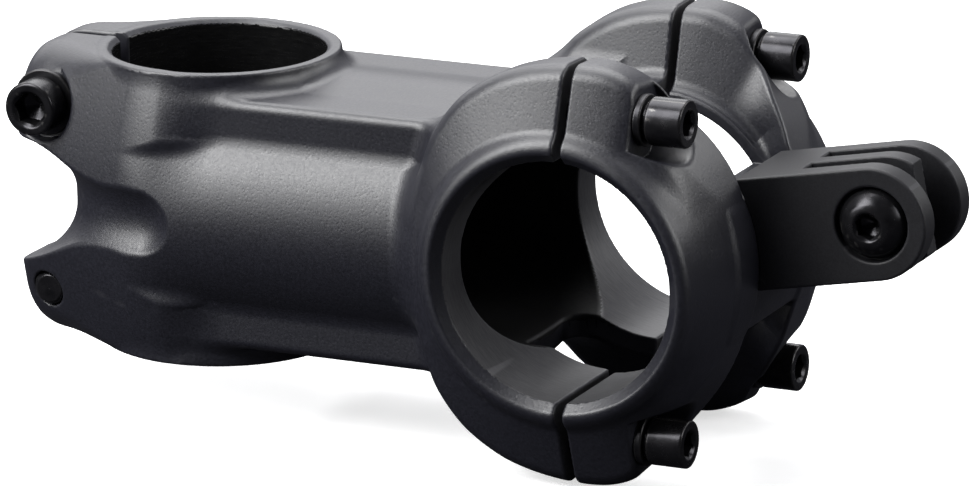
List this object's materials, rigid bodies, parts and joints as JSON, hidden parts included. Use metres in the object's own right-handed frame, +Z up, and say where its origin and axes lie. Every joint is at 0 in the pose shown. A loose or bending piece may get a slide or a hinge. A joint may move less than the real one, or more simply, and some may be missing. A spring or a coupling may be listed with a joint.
{
  "type": "handlebar stem",
  "caption": "Short threadless handlebar stem with a pinch clamp for the steerer, a bolted two-ring faceplate for the bar and a three-prong accessory mount on the faceplate bridge.",
  "frame": {"origin": "middle of the steerer bore, on its axis at half the clamp height", "axes": "+Z up the steerer, +X forward to the handlebar, +Y to the rider's left along the handlebar"},
  "size_m": [0.1318, 0.0508, 0.056],
  "materials": {
    "body_black": "bead-blasted black anodised, satin",
    "mount_black": "machined and black anodised, fine matte",
    "bolt_black": "black oxide, semi-gloss"
  },
  "bodies": {
    "stem": {"stem_body": "body_black"},
    "faceplate": {"faceplate": "body_black", "accessory_mount": "mount_black", "mount_fixing_screws": "bolt_black"},
    "faceplate_washer_upper_right": {"faceplate_washer_upper_right": "bolt_black"},
    "faceplate_bolt_upper_right": {"faceplate_bolt_upper_right": "bolt_black"},
    "faceplate_washer_upper_left": {"faceplate_washer_upper_left": "bolt_black"},
    "faceplate_bolt_upper_left": {"faceplate_bolt_upper_left": "bolt_black"},
    "faceplate_washer_lower_right": {"faceplate_washer_lower_right": "bolt_black"},
    "faceplate_bolt_lower_right": {"faceplate_bolt_lower_right": "bolt_black"},
    "faceplate_washer_lower_left": {"faceplate_washer_lower_left": "bolt_black"},
    "faceplate_bolt_lower_left": {"faceplate_bolt_lower_left": "bolt_black"},
    "clamp_washer_upper": {"clamp_washer_upper": "bolt_black"},
    "clamp_bolt_upper": {"clamp_bolt_upper": "bolt_black"},
    "clamp_washer_lower": {"clamp_washer_lower": "bolt_black"},
    "clamp_bolt_lower": {"clamp_bolt_lower": "bolt_black"},
    "mount_screw": {"mount_screw": "bolt_black"}
  },
  "joints": [
    {"name": "faceplate_off", "type": "slide", "parent": "stem", "child": "faceplate", "axis": [1, 0, 0], "range_m": [0, 0.03]},
    {"name": "faceplate_bolt_upper_right_travel", "type": "slide", "parent": "faceplate", "child": "faceplate_washer_upper_right", "axis": [1, 0, 0], "range_m": [0, 0.0112]},
    {"name": "faceplate_bolt_upper_right_turn", "type": "hinge", "parent": "faceplate_washer_upper_right", "child": "faceplate_bolt_upper_right", "pos_m": [0.0708, -0.0186, 0.0212], "axis": [1, 0, 0], "range_deg": [0, 5765]},
    {"name": "faceplate_bolt_upper_left_travel", "type": "slide", "parent": "faceplate", "child": "faceplate_washer_upper_left", "axis": [1, 0, 0], "range_m": [0, 0.0112]},
    {"name": "faceplate_bolt_upper_left_turn", "type": "hinge", "parent": "faceplate_washer_upper_left", "child": "faceplate_bolt_upper_left", "pos_m": [0.0708, 0.0186, 0.0212], "axis": [1, 0, 0], "range_deg": [0, 5765]},
    {"name": "faceplate_bolt_lower_right_travel", "type": "slide", "parent": "faceplate", "child": "faceplate_washer_lower_right", "axis": [1, 0, 0], "range_m": [0, 0.0112]},
    {"name": "faceplate_bolt_lower_right_turn", "type": "hinge", "parent": "faceplate_washer_lower_right", "child": "faceplate_bolt_lower_right", "pos_m": [0.0708, -0.0186, -0.0212], "axis": [1, 0, 0], "range_deg": [0, 5765]},
    {"name": "faceplate_bolt_lower_left_travel", "type": "slide", "parent": "faceplate", "child": "faceplate_washer_lower_left", "axis": [1, 0, 0], "range_m": [0, 0.0112]},
    {"name": "faceplate_bolt_lower_left_turn", "type": "hinge", "parent": "faceplate_washer_lower_left", "child": "faceplate_bolt_lower_left", "pos_m": [0.0708, 0.0186, -0.0212], "axis": [1, 0, 0], "range_deg": [0, 5765]},
    {"name": "clamp_bolt_upper_travel", "type": "slide", "parent": "stem", "child": "clamp_washer_upper", "axis": [0, -1, 0], "range_m": [0, 0.0112]},
    {"name": "clamp_bolt_upper_turn", "type": "hinge", "parent": "clamp_washer_upper", "child": "clamp_bolt_upper", "pos_m": [-0.0204, -0.012, 0.0129], "axis": [0, -1, 0], "range_deg": [0, 5045]},
    {"name": "clamp_bolt_lower_travel", "type": "slide", "parent": "stem", "child": "clamp_washer_lower", "axis": [0, 1, 0], "range_m": [0, 0.0112]},
    {"name": "clamp_bolt_lower_turn", "type": "hinge", "parent": "clamp_washer_lower", "child": "clamp_bolt_lower", "pos_m": [-0.0204, 0.012, -0.0129], "axis": [0, 1, 0], "range_deg": [0, 5045]},
    {"name": "mount_screw_out", "type": "slide", "parent": "faceplate", "child": "mount_screw", "axis": [0, -1, 0], "range_m": [0, 0.018]}
  ],
  "couplings": [
    {"joint": "faceplate_bolt_upper_right_turn", "follows": "faceplate_bolt_upper_right_travel", "rad_per_m": 8976},
    {"joint": "faceplate_bolt_upper_left_turn", "follows": "faceplate_bolt_upper_left_travel", "rad_per_m": 8976},
    {"joint": "faceplate_bolt_lower_right_turn", "follows": "faceplate_bolt_lower_right_travel", "rad_per_m": 8976},
    {"joint": "faceplate_bolt_lower_left_turn", "follows": "faceplate_bolt_lower_left_travel", "rad_per_m": 8976},
    {"joint": "clamp_bolt_upper_turn", "follows": "clamp_bolt_upper_travel", "rad_per_m": 7854},
    {"joint": "clamp_bolt_lower_turn", "follows": "clamp_bolt_lower_travel", "rad_per_m": 7854}
  ]
}
